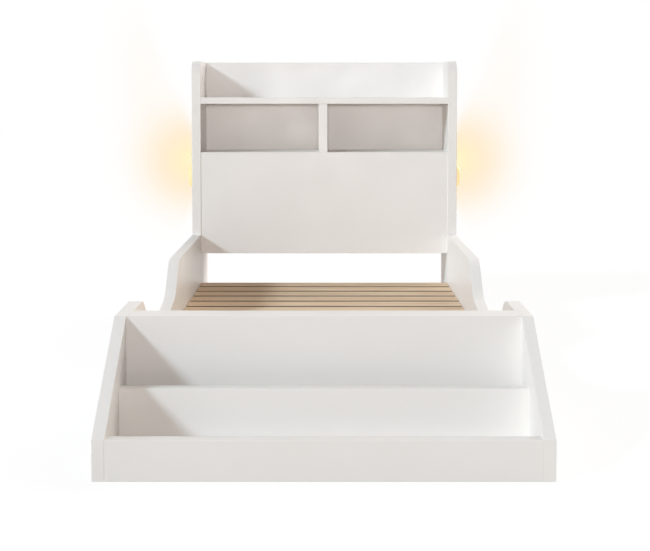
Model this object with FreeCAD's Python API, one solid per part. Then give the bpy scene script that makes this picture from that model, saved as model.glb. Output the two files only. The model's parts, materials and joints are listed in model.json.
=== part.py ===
import FreeCAD, Part
import math
import os

from FreeCAD import Vector

os.makedirs("parts", exist_ok=True)

# All sizes are in millimetres. X runs across the bed, Y from the foot to the head, Z up.
# The origin is on the floor, at the middle of the bed's footprint.

# Mattress, and its play in the well
mattress_width = 991.0
mattress_length = 1905.0
mattress_side_play = 1.5
mattress_end_play = 2.5

# Side rails, each one board with a dip in its top edge
rail_thickness = 36.0
rail_height = 325.0
dip_from_foot_unit = 645.5
dip_low_height = 183.5
dip_half_opening = 444.0
dip_slope_degrees = 44.0
dip_bottom_radius = 1750.0
dip_corner_radius = 130.0

# Slats, and the ledgers that carry them
slat_width = 97.0
slat_gap = 28.0
slat_thickness = 18.0
slat_top = 131.0
slat_end_clearance = 1.5
last_slat_setback = 1.0
ledger_width = 30.0
ledger_height = 40.0
ledger_end_clearance = 1.0

# Headboard
headboard_height = 1025.0
headboard_depth = 285.0
headboard_side_thickness = 36.0
headboard_corner_radius = 50.0
back_panel_thickness = 20.0
front_panel_thickness = 25.0
front_panel_setback = 2.0
front_panel_bottom = 250.0
tray_height = 146.0
top_shelf_thickness = 26.0
cubby_height = 194.0
cubby_floor_thickness = 26.0
divider_thickness = 36.0
divider_off_centre = -5.0
bottom_board_thickness = 25.0
lower_rail_thickness = 25.0
lower_rail_bottom = 20.0
lower_rail_height = 80.0
lower_rail_behind_plates = 20.0

# Bookcase unit at the foot
foot_side_thickness = 30.0
foot_front_height = 97.0
foot_slope_run = 353.0
foot_top_depth = 89.0
foot_top_thickness = 18.0
foot_front_thickness = 36.0
foot_divider_from_front = 224.0
foot_divider_thickness = 36.0
foot_divider_height = 167.0
foot_back_thickness = 36.0
foot_rear_thickness = 36.0
foot_base_top = 40.0
foot_base_thickness = 18.0

# Softened edges
board_edge_radius = 1.5
slat_edge_radius = 2.5

# Dowels and cam fittings
dowel_diameter = 8.0
dowel_length = 36.0
dowel_end_margin = 45.0
divider_dowel_margin = 68.0
cam_diameter = 15.0
cam_depth_past_bolt = 5.5
cam_from_joint = 24.0
cam_bolt_diameter = 6.0
cam_bolt_in_side = 12.0
cam_slot_width = 2.0
cam_slot_depth = 2.0
fitting_clearance = 0.1

# Wood screws: overall length is measured from the face of the head
slat_screw_length = 40.0
ledger_screw_length = 50.0
ledger_screw_count = 6
ledger_screw_height = 10.0
back_screw_length = 45.0
back_screw_columns = 4
plate_screw_length = 28.0
screw_diameter = 4.2
screw_head_diameter = 8.0
screw_head_height = 2.6
screw_tip_length = 5.0
screw_slot_width = 1.0
screw_slot_length = 5.0
screw_slot_depth = 1.2

# Steel plates and brackets that join the rails to both ends
plate_thickness = 3.0
plate_length = 140.0
plate_height = 40.0
plate_bottom = 20.0
plate_hole_inset = 18.0
bracket_leg = 50.0
bracket_height = 52.0
bracket_bottom = 14.0
bracket_hole_inset = 12.0
bracket_hole_from_corner = 32.0

# Press lamps on the headboard's outer faces
lamp_height = 554.0
lamp_diameter = 95.0
lamp_depth = 28.0
lamp_base_depth = 10.0
lamp_back_wall = 2.0
lamp_rim_wall = 1.8
lamp_lip_thickness = 1.6
lamp_flange_thickness = 1.5
lamp_flange_width = 1.8
lamp_stop_gap = 0.3
lamp_running_gap = 0.4
lamp_travel = 2.0
dome_wall = 2.0
dome_corner_radius = 12.0
dome_crown_radius = 200.0
cell_diameter = 10.5
cell_length = 44.5
cell_pitch = 11.0
cell_count = 3
cell_clearance = 0.2
cell_stop_thickness = 1.5
cell_stop_height = 8.0
lamp_post_diameter = 6.0
lamp_post_circle = 64.0
lamp_post_count = 3
lamp_board_height = 13.2
lamp_board_diameter = 76.0
lamp_board_thickness = 1.6
led_size = 5.0
led_height = 1.2
led_circle = 52.0
led_count = 6
switch_size = 12.0
switch_height = 6.0
switch_floor = 0.6
plunger_diameter = 5.0
plunger_clearance = 0.1
plunger_end_gap = 1.0
dome_boss_diameter = 7.0
dome_boss_gap = 0.8
lamp_screw_diameter = 3.5
lamp_screw_length = 16.0
lamp_screw_head_diameter = 7.0
lamp_screw_head_height = 2.2
lamp_screw_spacing = 66.0

# Places that follow from the sizes above
well_width = mattress_width + 2 * mattress_side_play
well_length = mattress_length + 2 * mattress_end_play
rail_outer_x = well_width / 2 + rail_thickness
foot_depth = foot_slope_run + foot_top_depth
bed_length = foot_depth + well_length + headboard_depth
foot_front_y = -bed_length / 2
well_foot_y = foot_front_y + foot_depth
well_head_y = well_foot_y + well_length
bed_back_y = well_head_y + headboard_depth
foot_inner_x = rail_outer_x - foot_side_thickness
headboard_inner_x = well_width / 2
headboard_outer_x = headboard_inner_x + headboard_side_thickness
back_panel_y = bed_back_y - back_panel_thickness
panel_front_y = well_head_y + front_panel_setback
panel_back_y = panel_front_y + front_panel_thickness
top_shelf_top = headboard_height - tray_height
top_shelf_bottom = top_shelf_top - top_shelf_thickness
cubby_floor_top = top_shelf_bottom - cubby_height
cubby_floor_bottom = cubby_floor_top - cubby_floor_thickness
bottom_board_top = front_panel_bottom + bottom_board_thickness
lower_rail_y = well_head_y + plate_length / 2 + lower_rail_behind_plates
lower_rail_top = lower_rail_bottom + lower_rail_height
slat_bottom = slat_top - slat_thickness
ledger_bottom = slat_bottom - ledger_height
foot_back_y = foot_front_y + foot_slope_run
foot_rear_y = well_foot_y - foot_rear_thickness
foot_divider_y = foot_front_y + foot_divider_from_front
foot_board_top = rail_height - foot_top_thickness

shapes = {}
holes = {}


def block(low, high):
    """A box between two opposite corners."""
    size = Vector(*high) - Vector(*low)
    return Part.makeBox(size.x, size.y, size.z, Vector(*low))


def rod(diameter, length, start, direction):
    """A round rod from a start point along a direction."""
    return Part.makeCylinder(diameter / 2, length, Vector(*start), Vector(*direction))


def mirrored(shape):
    """The same shape on the other side of the bed."""
    return shape.mirror(Vector(0, 0, 0), Vector(1, 0, 0))


def cross_board(y_low, y_high, z_low, z_high, half_width, radius=board_edge_radius, flush=None):
    """A board across the bed, with its long edges softened but for one that meets a board flush."""
    board = block((-half_width, y_low, z_low), (half_width, y_high, z_high))
    long_edges = [edge for edge in board.Edges if edge.BoundBox.XLength > half_width]
    if flush:
        meeting = Vector(0, *flush)
        long_edges = [edge for edge in long_edges if (edge.CenterOfMass - meeting).Length > radius]
    return board.makeFillet(radius, long_edges)


def side_board(outline, inner_x, thickness):
    """An upright board cut to an outline in YZ, with the edges of both faces softened."""
    face = Part.Face(Part.Wire(outline))
    face.translate(Vector(inner_x, 0, 0))
    board = face.extrude(Vector(thickness, 0, 0))
    face_edges = [edge for edge in board.Edges if edge.BoundBox.XLength < thickness / 2]
    return board.makeFillet(board_edge_radius, face_edges)


def line(start, end):
    """A straight edge of an outline in YZ."""
    return Part.LineSegment(Vector(0, *start), Vector(0, *end)).toShape()


def arc(centre, start, end):
    """An arc under a half circle round a centre in YZ, from start to end."""
    hub = Vector(0, *centre)
    first = Vector(0, *start)
    last = Vector(0, *end)
    middle = (first - hub) + (last - hub)
    middle.multiply((first - hub).Length / middle.Length)
    return Part.Arc(first, hub + middle, last).toShape()


def polygon(points):
    """A closed outline in YZ with straight sides."""
    return [line(start, end) for start, end in zip(points, points[1:] + points[:1])]


def drill(node, hole):
    """Keep a hole for a piece until all of its holes are known."""
    holes.setdefault(node, []).append(hole)


def add(node, pieces):
    """Add separate solids to a node that holds a group of them."""
    shapes.setdefault(node, []).extend(pieces)


# Screws


def screw(length, growth=0.0):
    """A countersunk screw down -Z from a head face at z 0; growth makes the hole for it."""
    head = screw_head_diameter / 2 + growth
    shank = screw_diameter / 2 + growth
    tip = length - screw_tip_length
    profile = [
        Vector(0, 0, 0),
        Vector(head, 0, 0),
        Vector(shank, 0, -screw_head_height),
        Vector(shank, 0, -tip),
        Vector(0, 0, -length - growth),
    ]
    face = Part.Face(Part.makePolygon(profile + profile[:1]))
    return face.revolve(Vector(0, 0, 0), Vector(0, 0, 1), 360)


def slotted(body):
    """Cut a cross recess into a screw's head."""
    half = screw_slot_length / 2
    thin = screw_slot_width / 2
    one = block((-half, -thin, -screw_slot_depth), (half, thin, 1))
    other = block((-thin, -half, -screw_slot_depth), (thin, half, 1))
    return body.cut([one, other])


def drive_screw(group, owners, head_face, direction, length):
    """Put a screw in a group with its head at head_face, and drill its owners for it."""
    turn = FreeCAD.Rotation(Vector(0, 0, -1), Vector(*direction))
    place = FreeCAD.Placement(Vector(*head_face), turn)
    body = slotted(screw(length))
    body.Placement = place
    add(group, [body])
    for owner in owners:
        hole = screw(length, fitting_clearance)
        hole.Placement = place
        drill(owner, hole)


# Dowels and cam fittings


def dowel(owners, centre, axis):
    """A dowel centred on a joint, with its hole in both boards."""
    along = Vector(*axis)
    start = Vector(*centre) - along * (dowel_length / 2)
    add("wood_dowels", [rod(dowel_diameter, dowel_length, start, along)])
    room = dowel_length + 2 * fitting_clearance
    start = start - along * fitting_clearance
    for owner in owners:
        drill(owner, rod(dowel_diameter + 2 * fitting_clearance, room, start, along))


def end_dowel(board, sides, half_width, y, z):
    """The dowels in both ends of a cross board."""
    dowel([board, sides + "_right"], (half_width, y, z), (1, 0, 0))
    dowel([board, sides + "_left"], (-half_width, y, z), (1, 0, 0))


def cam_disc(depth):
    """A cam in local axes: its visible face at z 0, its body up +Z, its bolt along X."""
    disc = rod(cam_diameter, depth, (0, 0, 0), (0, 0, 1))
    bolt_z = depth - cam_depth_past_bolt
    mouth = rod(cam_bolt_diameter + 2 * fitting_clearance, cam_diameter, (0, 0, bolt_z), (1, 0, 0))
    half = cam_diameter / 3
    slot = block((-half, -cam_slot_width / 2, 0), (half, cam_slot_width / 2, cam_slot_depth))
    return disc.cut([mouth, slot])


def cam_fitting(board, side, joint, outward, face_point, inward):
    """A cam and its bolt: joint is on the board's end, face_point where the cam's face shows."""
    out = Vector(*outward)
    into = Vector(*inward)
    joint = Vector(*joint)
    face_point = Vector(*face_point)
    depth = (joint - face_point).dot(into) + cam_depth_past_bolt
    cross = into.cross(out)
    turn = FreeCAD.Rotation(FreeCAD.Matrix(
        out.x, cross.x, into.x, 0,
        out.y, cross.y, into.y, 0,
        out.z, cross.z, into.z, 0,
        0, 0, 0, 1))
    disc = cam_disc(depth)
    disc.Placement = FreeCAD.Placement(face_point, turn)
    add("cam_discs", [disc])
    bore = rod(
        cam_diameter + 2 * fitting_clearance,
        depth + fitting_clearance,
        face_point,
        into)
    drill(board, bore)
    start = joint - out * (cam_from_joint - fitting_clearance)
    reach = cam_from_joint - fitting_clearance + cam_bolt_in_side
    add("cam_bolts", [rod(cam_bolt_diameter, reach, start, out)])
    wide = cam_bolt_diameter + 2 * fitting_clearance
    drill(board, rod(wide, reach, start, out))
    drill(side, rod(wide, reach + fitting_clearance, start, out))


def end_cams(board, sides, half_width, y, z, inward, face_offset):
    """A cam in both ends of a cross board; face_offset leads from the bolt to the cam's face."""
    for sign, side in ((1, sides + "_right"), (-1, sides + "_left")):
        joint = (sign * half_width, y, z)
        face_x = sign * (half_width - cam_from_joint)
        face_point = (face_x, y + face_offset[1], z + face_offset[2])
        cam_fitting(board, side, joint, (sign, 0, 0), face_point, inward)


# Headboard


def headboard_sides():
    """The two upright ends, round at the top front corner."""
    radius = headboard_corner_radius
    front = well_head_y
    low_corner = (front, 0)
    arc_start = (front, headboard_height - radius)
    arc_end = (front + radius, headboard_height)
    back_top = (bed_back_y, headboard_height)
    back_low = (bed_back_y, 0)
    outline = [
        line(low_corner, arc_start),
        arc((front + radius, headboard_height - radius), arc_start, arc_end),
        line(arc_end, back_top),
        line(back_top, back_low),
        line(back_low, low_corner),
    ]
    right = side_board(outline, headboard_inner_x, headboard_side_thickness)
    add("headboard_side_right", [right])
    add("headboard_side_left", [mirrored(right)])


def headboard_boards():
    """The shelves, panels, divider and lower rail between the upright ends."""
    half = headboard_inner_x
    top_shelf = cross_board(well_head_y, back_panel_y, top_shelf_bottom, top_shelf_top, half)
    add("headboard_top_shelf", [top_shelf])
    cubby_floor = cross_board(panel_back_y, back_panel_y, cubby_floor_bottom, cubby_floor_top, half)
    add("headboard_cubby_floor", [cubby_floor])
    bottom = cross_board(panel_back_y, back_panel_y, front_panel_bottom, bottom_board_top, half)
    add("headboard_bottom_board", [bottom])
    front_panel = cross_board(
        panel_front_y, panel_back_y, front_panel_bottom, cubby_floor_top, half)
    add("headboard_front_panel", [front_panel])
    back_panel = cross_board(back_panel_y, bed_back_y, front_panel_bottom, headboard_height, half)
    add("headboard_back_panel", [back_panel])
    rail_back_y = lower_rail_y + lower_rail_thickness
    lower_rail = cross_board(lower_rail_y, rail_back_y, lower_rail_bottom, lower_rail_top, half)
    add("headboard_lower_rail", [lower_rail])
    wide = divider_thickness / 2
    divider_low = (divider_off_centre - wide, panel_front_y, cubby_floor_top)
    divider_high = (divider_off_centre + wide, back_panel_y, top_shelf_bottom)
    divider = block(divider_low, divider_high)
    front_edges = [edge for edge in divider.Edges if edge.BoundBox.YMax < panel_front_y + wide]
    uprights = [edge for edge in front_edges if edge.BoundBox.ZLength > wide]
    add("headboard_divider", [divider.makeFillet(board_edge_radius, uprights)])


def headboard_fixings():
    """Dowels, cams and screws that hold the headboard together."""
    half = headboard_inner_x
    shelves = (
        ("headboard_top_shelf", well_head_y, top_shelf_bottom, top_shelf_thickness),
        ("headboard_cubby_floor", panel_back_y, cubby_floor_bottom, cubby_floor_thickness),
        ("headboard_bottom_board", panel_back_y, front_panel_bottom, bottom_board_thickness),
    )
    for board, front_y, low_z, thickness in shelves:
        middle_z = low_z + thickness / 2
        middle_y = (front_y + back_panel_y) / 2
        end_dowel(board, "headboard_side", half, front_y + dowel_end_margin, middle_z)
        end_dowel(board, "headboard_side", half, back_panel_y - dowel_end_margin, middle_z)
        to_face = (0, 0, -thickness / 2)
        end_cams(board, "headboard_side", half, middle_y, middle_z, (0, 0, 1), to_face)
        for column in range(back_screw_columns):
            x = half * (2 * (column + 0.5) / back_screw_columns - 1)
            owners = ["headboard_back_panel", board]
            head_face = (x, bed_back_y, middle_z)
            drive_screw("back_panel_screws", owners, head_face, (0, -1, 0), back_screw_length)
    panel_y = panel_front_y + front_panel_thickness / 2
    for z in (
        bottom_board_top + dowel_end_margin,
        (bottom_board_top + cubby_floor_bottom) / 2,
        cubby_floor_bottom - dowel_end_margin,
    ):
        end_dowel("headboard_front_panel", "headboard_side", half, panel_y, z)
    rail_y = lower_rail_y + lower_rail_thickness / 2
    dowel_z = lower_rail_top - lower_rail_height / 4
    cam_z = lower_rail_bottom + lower_rail_height / 4
    to_face = (0, lower_rail_thickness / 2, 0)
    end_dowel("headboard_lower_rail", "headboard_side", half, rail_y, dowel_z)
    end_cams("headboard_lower_rail", "headboard_side", half, rail_y, cam_z, (0, -1, 0), to_face)
    for y in (well_head_y + divider_dowel_margin, back_panel_y - divider_dowel_margin):
        for shelf, z in (
            ("headboard_top_shelf", top_shelf_bottom),
            ("headboard_cubby_floor", cubby_floor_top),
        ):
            dowel(["headboard_divider", shelf], (divider_off_centre, y, z), (0, 0, 1))


# Side rails, ledgers and slats


def dip_half():
    """Half of the dip's edge, from its lowest point up to the flat top, with y from its middle."""
    slope = math.radians(dip_slope_degrees)
    along = Vector(0, math.cos(slope), math.sin(slope))
    normal = Vector(0, -math.sin(slope), math.cos(slope))
    radius = dip_corner_radius
    bottom_hub = Vector(0, 0, dip_low_height + dip_bottom_radius)
    corner = Vector(0, dip_half_opening, rail_height)
    reach = corner + normal * radius - bottom_hub
    hub_distance = dip_bottom_radius - radius
    root = math.sqrt(reach.dot(along) ** 2 - reach.dot(reach) + hub_distance ** 2)
    slope_low = corner - along * (reach.dot(along) + root)
    low_hub = slope_low + normal * radius
    low_start = bottom_hub + (low_hub - bottom_hub) * (dip_bottom_radius / hub_distance)
    tangent = radius * math.tan(slope / 2)
    slope_high = corner - along * tangent
    top_end = corner + Vector(0, tangent, 0)
    high_hub = top_end - Vector(0, 0, radius)
    return [
        (bottom_hub, Vector(0, 0, dip_low_height), low_start),
        (low_hub, low_start, slope_low),
        (None, slope_low, slope_high),
        (high_hub, slope_high, top_end),
    ]


def rail_outline():
    """The rail's outline in YZ."""
    middle = well_foot_y + dip_from_foot_unit
    edges = []
    ends = []
    for sign in (1, -1):
        for hub, start, end in dip_half():
            first = (middle + sign * start.y, start.z)
            last = (middle + sign * end.y, end.z)
            if hub is None:
                edges.append(line(first, last))
            else:
                edges.append(arc((middle + sign * hub.y, hub.z), first, last))
        ends.append(last)
    head_top = (well_head_y, rail_height)
    head_low = (well_head_y, 0)
    foot_low = (well_foot_y, 0)
    foot_top = (well_foot_y, rail_height)
    edges += [
        line(ends[0], head_top),
        line(head_top, head_low),
        line(head_low, foot_low),
        line(foot_low, foot_top),
        line(foot_top, ends[1]),
    ]
    return Part.__sortEdges__(edges)


def side_rails():
    """The two rails."""
    right = side_board(rail_outline(), well_width / 2, rail_thickness)
    add("side_rail_right", [right])
    add("side_rail_left", [mirrored(right)])


def ledgers():
    """The battens along the rails that carry the slats, with their screws."""
    inner_x = well_width / 2 - ledger_width
    start_y = well_foot_y + ledger_end_clearance
    end_y = well_head_y - ledger_end_clearance
    right = block((inner_x, start_y, ledger_bottom), (well_width / 2, end_y, slat_bottom))
    add("slat_ledger_right", [right])
    add("slat_ledger_left", [mirrored(right)])
    step = (end_y - start_y) / ledger_screw_count
    screw_z = ledger_bottom + ledger_screw_height
    for index in range(ledger_screw_count):
        y = start_y + (index + 0.5) * step
        for sign, side in ((1, "right"), (-1, "left")):
            owners = ["slat_ledger_" + side, "side_rail_" + side]
            head_face = (sign * inner_x, y, screw_z)
            drive_screw("ledger_screws", owners, head_face, (sign, 0, 0), ledger_screw_length)


def slats():
    """The slats, laid from the head end, each screwed down to both ledgers."""
    pitch = slat_width + slat_gap
    count = int((well_length - last_slat_setback + slat_gap) // pitch)
    first_y = well_head_y - last_slat_setback - slat_width - (count - 1) * pitch
    half = well_width / 2 - slat_end_clearance
    screw_x = well_width / 2 - ledger_width / 2
    for index in range(count):
        node = "slat_%02d" % (index + 1)
        low_y = first_y + index * pitch
        slat = cross_board(low_y, low_y + slat_width, slat_bottom, slat_top, half, slat_edge_radius)
        add(node, [slat])
        for sign, side in ((1, "right"), (-1, "left")):
            owners = [node, "slat_ledger_" + side]
            head_face = (sign * screw_x, low_y + slat_width / 2, slat_top)
            drive_screw("slat_screws", owners, head_face, (0, 0, -1), slat_screw_length)


# Bookcase unit at the foot


def foot_sides():
    """The two ends of the foot unit, sloping up from the front to the rails' height."""
    outline = polygon([
        (foot_front_y, 0),
        (foot_front_y, foot_front_height),
        (foot_back_y, rail_height),
        (well_foot_y, rail_height),
        (well_foot_y, 0),
    ])
    right = side_board(outline, foot_inner_x, foot_side_thickness)
    add("foot_side_right", [right])
    add("foot_side_left", [mirrored(right)])


def foot_boards():
    """The panels, divider, base and top of the foot unit."""
    half = foot_inner_x
    front_back_y = foot_front_y + foot_front_thickness
    divider_back_y = foot_divider_y + foot_divider_thickness
    back_back_y = foot_back_y + foot_back_thickness
    base_bottom = foot_base_top - foot_base_thickness
    front = cross_board(foot_front_y, front_back_y, 0, foot_front_height, half)
    add("foot_front_panel", [front])
    base = cross_board(front_back_y, foot_back_y, base_bottom, foot_base_top, half)
    add("foot_base_board", [base])
    divider = cross_board(foot_divider_y, divider_back_y, foot_base_top, foot_divider_height, half)
    add("foot_divider", [divider])
    front_joint = (foot_back_y, foot_board_top)
    back = cross_board(foot_back_y, back_back_y, 0, foot_board_top, half, flush=front_joint)
    add("foot_back_panel", [back])
    rear = cross_board(foot_rear_y, well_foot_y, 0, foot_board_top, half)
    add("foot_rear_board", [rear])
    top = cross_board(foot_back_y, well_foot_y, foot_board_top, rail_height, half, flush=front_joint)
    add("foot_top_board", [top])


def foot_fixings():
    """Dowels and cams that hold the foot unit together."""
    half = foot_inner_x
    base_z = foot_base_top - foot_base_thickness / 2
    base_front = foot_front_y + foot_front_thickness
    top_z = rail_height - foot_top_thickness / 2
    uprights = (
        ("foot_front_panel", foot_front_y + foot_front_thickness / 2, 0, foot_front_height, 2),
        ("foot_divider", foot_divider_y + foot_divider_thickness / 2, foot_base_top,
         foot_divider_height, 2),
        ("foot_back_panel", foot_back_y + foot_back_thickness / 2, 0, foot_board_top, 3),
        ("foot_rear_board", foot_rear_y + foot_rear_thickness / 2, 0, foot_board_top, 3),
    )
    for board, y, low_z, high_z, count in uprights:
        for index in range(count):
            z = low_z + (high_z - low_z) * (index + 0.5) / count
            end_dowel(board, "foot_side", half, y, z)
    for y in (base_front + dowel_end_margin, foot_back_y - dowel_end_margin):
        end_dowel("foot_base_board", "foot_side", half, y, base_z)
    for y in (foot_back_y + foot_top_depth / 4, well_foot_y - foot_top_depth / 4):
        end_dowel("foot_top_board", "foot_side", half, y, top_z)
    base_y = (base_front + foot_back_y) / 2 - dowel_end_margin
    to_face = (0, 0, -foot_base_thickness / 2)
    end_cams("foot_base_board", "foot_side", half, base_y, base_z, (0, 0, 1), to_face)
    cam_z = foot_board_top / 3
    for board, y, thickness in (
        ("foot_back_panel", foot_back_y + foot_back_thickness / 2, foot_back_thickness),
        ("foot_rear_board", foot_rear_y + foot_rear_thickness / 2, foot_rear_thickness),
    ):
        end_cams(board, "foot_side", half, y, cam_z, (0, -1, 0), (0, thickness / 2, 0))


# Steel joining pieces


def joining_plates():
    """Flat plates across the joints of the rails and the headboard's ends, with their screws."""
    inner_x = well_width / 2 - plate_thickness
    half = plate_length / 2
    low = (inner_x, well_head_y - half, plate_bottom)
    right = block(low, (well_width / 2, well_head_y + half, plate_bottom + plate_height))
    add("joining_plates", [right, mirrored(right)])
    screw_z = plate_bottom + plate_height / 2
    for sign, side in ((1, "right"), (-1, "left")):
        for y, owner in (
            (well_head_y - half + plate_hole_inset, "side_rail_"),
            (well_head_y - plate_hole_inset, "side_rail_"),
            (well_head_y + plate_hole_inset, "headboard_side_"),
            (well_head_y + half - plate_hole_inset, "headboard_side_"),
        ):
            owners = ["joining_plates", owner + side]
            head_face = (sign * inner_x, y, screw_z)
            drive_screw("plate_screws", owners, head_face, (sign, 0, 0), plate_screw_length)


def corner_brackets():
    """Angle brackets in the corners of the rails and the foot unit, with their screws."""
    outer_x = well_width / 2
    top = bracket_bottom + bracket_height
    leg_low = (outer_x - plate_thickness, well_foot_y, bracket_bottom)
    rail_leg = block(leg_low, (outer_x, well_foot_y + bracket_leg, top))
    leg_low = (outer_x - bracket_leg, well_foot_y, bracket_bottom)
    foot_leg = block(leg_low, (outer_x, well_foot_y + plate_thickness, top))
    right = rail_leg.fuse(foot_leg).removeSplitter()
    add("corner_brackets", [right, mirrored(right)])
    for sign, side in ((1, "right"), (-1, "left")):
        for z in (bracket_bottom + bracket_hole_inset, top - bracket_hole_inset):
            rail_face = (
                sign * (outer_x - plate_thickness),
                well_foot_y + bracket_hole_from_corner,
                z)
            owners = ["corner_brackets", "side_rail_" + side]
            drive_screw("plate_screws", owners, rail_face, (sign, 0, 0), plate_screw_length)
            foot_face = (
                sign * (outer_x - bracket_hole_from_corner),
                well_foot_y + plate_thickness,
                z)
            owners = ["corner_brackets", "foot_rear_board"]
            drive_screw("plate_screws", owners, foot_face, (0, -1, 0), plate_screw_length)


# Press lamps, in local axes: the headboard's face at x 0 and +X outward


def turned(edges):
    """A solid of revolution about X, from a closed outline of x and radius."""
    face = Part.Face(Part.Wire(edges))
    return face.revolve(Vector(0, 0, 0), Vector(1, 0, 0), 360)


def profile_line(start, end):
    """A straight edge of a turned outline."""
    return Part.LineSegment(Vector(*start, 0), Vector(*end, 0)).toShape()


def profile_arc(centre, start, end):
    """An arc of a turned outline."""
    hub = Vector(*centre, 0)
    first = Vector(*start, 0)
    last = Vector(*end, 0)
    middle = (first - hub) + (last - hub)
    middle.multiply((first - hub).Length / middle.Length)
    return Part.Arc(first, hub + middle, last).toShape()


def profile(points):
    """A closed turned outline with straight sides."""
    return [profile_line(start, end) for start, end in zip(points, points[1:] + points[:1])]


lamp_radius = lamp_diameter / 2
lamp_cavity_radius = lamp_radius - lamp_rim_wall
lamp_flange_radius = lamp_cavity_radius - lamp_running_gap
dome_radius = lamp_flange_radius - lamp_flange_width
lamp_lip_x = lamp_base_depth - lamp_lip_thickness
lamp_flange_x = lamp_lip_x - lamp_stop_gap
lamp_flange_low_x = lamp_flange_x - lamp_flange_thickness
lamp_board_top = lamp_board_height + lamp_board_thickness
switch_top = lamp_board_top + switch_height
dome_boss_x = switch_top + lamp_travel + dome_boss_gap


def lamp_screw_places():
    """Where the lamp's two fixing screws go, as y and z."""
    half = lamp_screw_spacing / 2
    return ((0, half), (0, -half))


def lamp_base():
    """The back shell: a shallow cup with a lip, posts for the board and stops for the cells."""
    cup = turned(profile([
        (0, 0),
        (0, lamp_radius),
        (lamp_base_depth, lamp_radius),
        (lamp_base_depth, dome_radius + lamp_running_gap),
        (lamp_lip_x, dome_radius + lamp_running_gap),
        (lamp_lip_x, lamp_cavity_radius),
        (lamp_back_wall, lamp_cavity_radius),
        (lamp_back_wall, 0),
    ]))
    extras = []
    for index in range(lamp_post_count):
        angle = 2 * math.pi * index / lamp_post_count
        y = lamp_post_circle / 2 * math.cos(angle)
        z = lamp_post_circle / 2 * math.sin(angle)
        reach = lamp_board_height - lamp_back_wall
        extras.append(rod(lamp_post_diameter, reach, (lamp_back_wall, y, z), (1, 0, 0)))
    half_width = cell_pitch * cell_count / 2
    for sign in (1, -1):
        near = sign * (cell_length / 2 + cell_clearance)
        far = near + sign * cell_stop_thickness
        low = (lamp_back_wall, -half_width, min(near, far))
        high = (lamp_back_wall + cell_stop_height, half_width, max(near, far))
        extras.append(block(low, high))
    base = cup.fuse(extras).removeSplitter()
    wide = lamp_screw_diameter + 2 * fitting_clearance
    drills = [rod(wide, lamp_back_wall, (0, y, z), (1, 0, 0)) for y, z in lamp_screw_places()]
    return [base.cut(drills)]


def dome_skin(offset):
    """The dome's skin, from its shoulder to its crown: hubs and points, offset inwards."""
    radius = dome_radius - offset
    crown = dome_crown_radius - offset
    hub_radius = dome_radius - dome_corner_radius
    gap = dome_crown_radius - dome_corner_radius
    crown_hub = (lamp_depth - dome_crown_radius, 0)
    hub_x = crown_hub[0] + math.sqrt(gap ** 2 - hub_radius ** 2)
    shoulder = (hub_x, radius)
    scale = crown / gap
    blend = (crown_hub[0] + (hub_x - crown_hub[0]) * scale, hub_radius * scale)
    top = (lamp_depth - offset, 0)
    return (hub_x, hub_radius), shoulder, blend, crown_hub, top


def lamp_dome():
    """The translucent cover that is pressed, with its flange and the boss over the switch."""
    hub, shoulder, blend, crown_hub, top = dome_skin(0)
    _, in_shoulder, in_blend, _, in_top = dome_skin(dome_wall)
    flange_low = (lamp_flange_low_x, lamp_flange_radius)
    flange_high = (lamp_flange_x, lamp_flange_radius)
    flange_root = (lamp_flange_x, dome_radius)
    inside_low = (lamp_flange_low_x, dome_radius - dome_wall)
    edges = [
        profile_line(flange_low, flange_high),
        profile_line(flange_high, flange_root),
        profile_line(flange_root, shoulder),
        profile_arc(hub, shoulder, blend),
        profile_arc(crown_hub, blend, top),
        profile_line(top, in_top),
        profile_arc(crown_hub, in_top, in_blend),
        profile_arc(hub, in_blend, in_shoulder),
        profile_line(in_shoulder, inside_low),
        profile_line(inside_low, flange_low),
    ]
    skin = turned(edges)
    boss_length = lamp_depth - dome_wall / 2 - dome_boss_x
    boss = rod(dome_boss_diameter, boss_length, (dome_boss_x, 0, 0), (1, 0, 0))
    return [skin.fuse(boss).removeSplitter()]


def lamp_cells():
    """The battery cells, side by side behind the board."""
    centre_x = lamp_back_wall + fitting_clearance + cell_diameter / 2
    cells = []
    for index in range(cell_count):
        y = (index - (cell_count - 1) / 2) * cell_pitch
        cells.append(rod(cell_diameter, cell_length, (centre_x, y, -cell_length / 2), (0, 0, 1)))
    return cells


def lamp_board():
    """The circuit board on its posts, with its light-emitting chips."""
    pieces = [rod(lamp_board_diameter, lamp_board_thickness, (lamp_board_height, 0, 0), (1, 0, 0))]
    for index in range(led_count):
        angle = 2 * math.pi * (index + 0.5) / led_count
        y = led_circle / 2 * math.cos(angle)
        z = led_circle / 2 * math.sin(angle)
        half = led_size / 2
        low = (lamp_board_top, y - half, z - half)
        pieces.append(block(low, (lamp_board_top + led_height, y + half, z + half)))
    return pieces


def lamp_switch():
    """The switch's body on the board, bored for its plunger."""
    half = switch_size / 2
    body = block((lamp_board_top, -half, -half), (switch_top, half, half))
    wide = plunger_diameter + 2 * plunger_clearance
    bore = rod(wide, switch_height, (lamp_board_top + switch_floor, 0, 0), (1, 0, 0))
    return [body.cut(bore)]


def lamp_plunger():
    """The switch's plunger, between its bore and the dome's boss."""
    start_x = lamp_board_top + switch_floor + lamp_travel + plunger_end_gap
    return [rod(plunger_diameter, dome_boss_x - start_x, (start_x, 0, 0), (1, 0, 0))]


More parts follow.
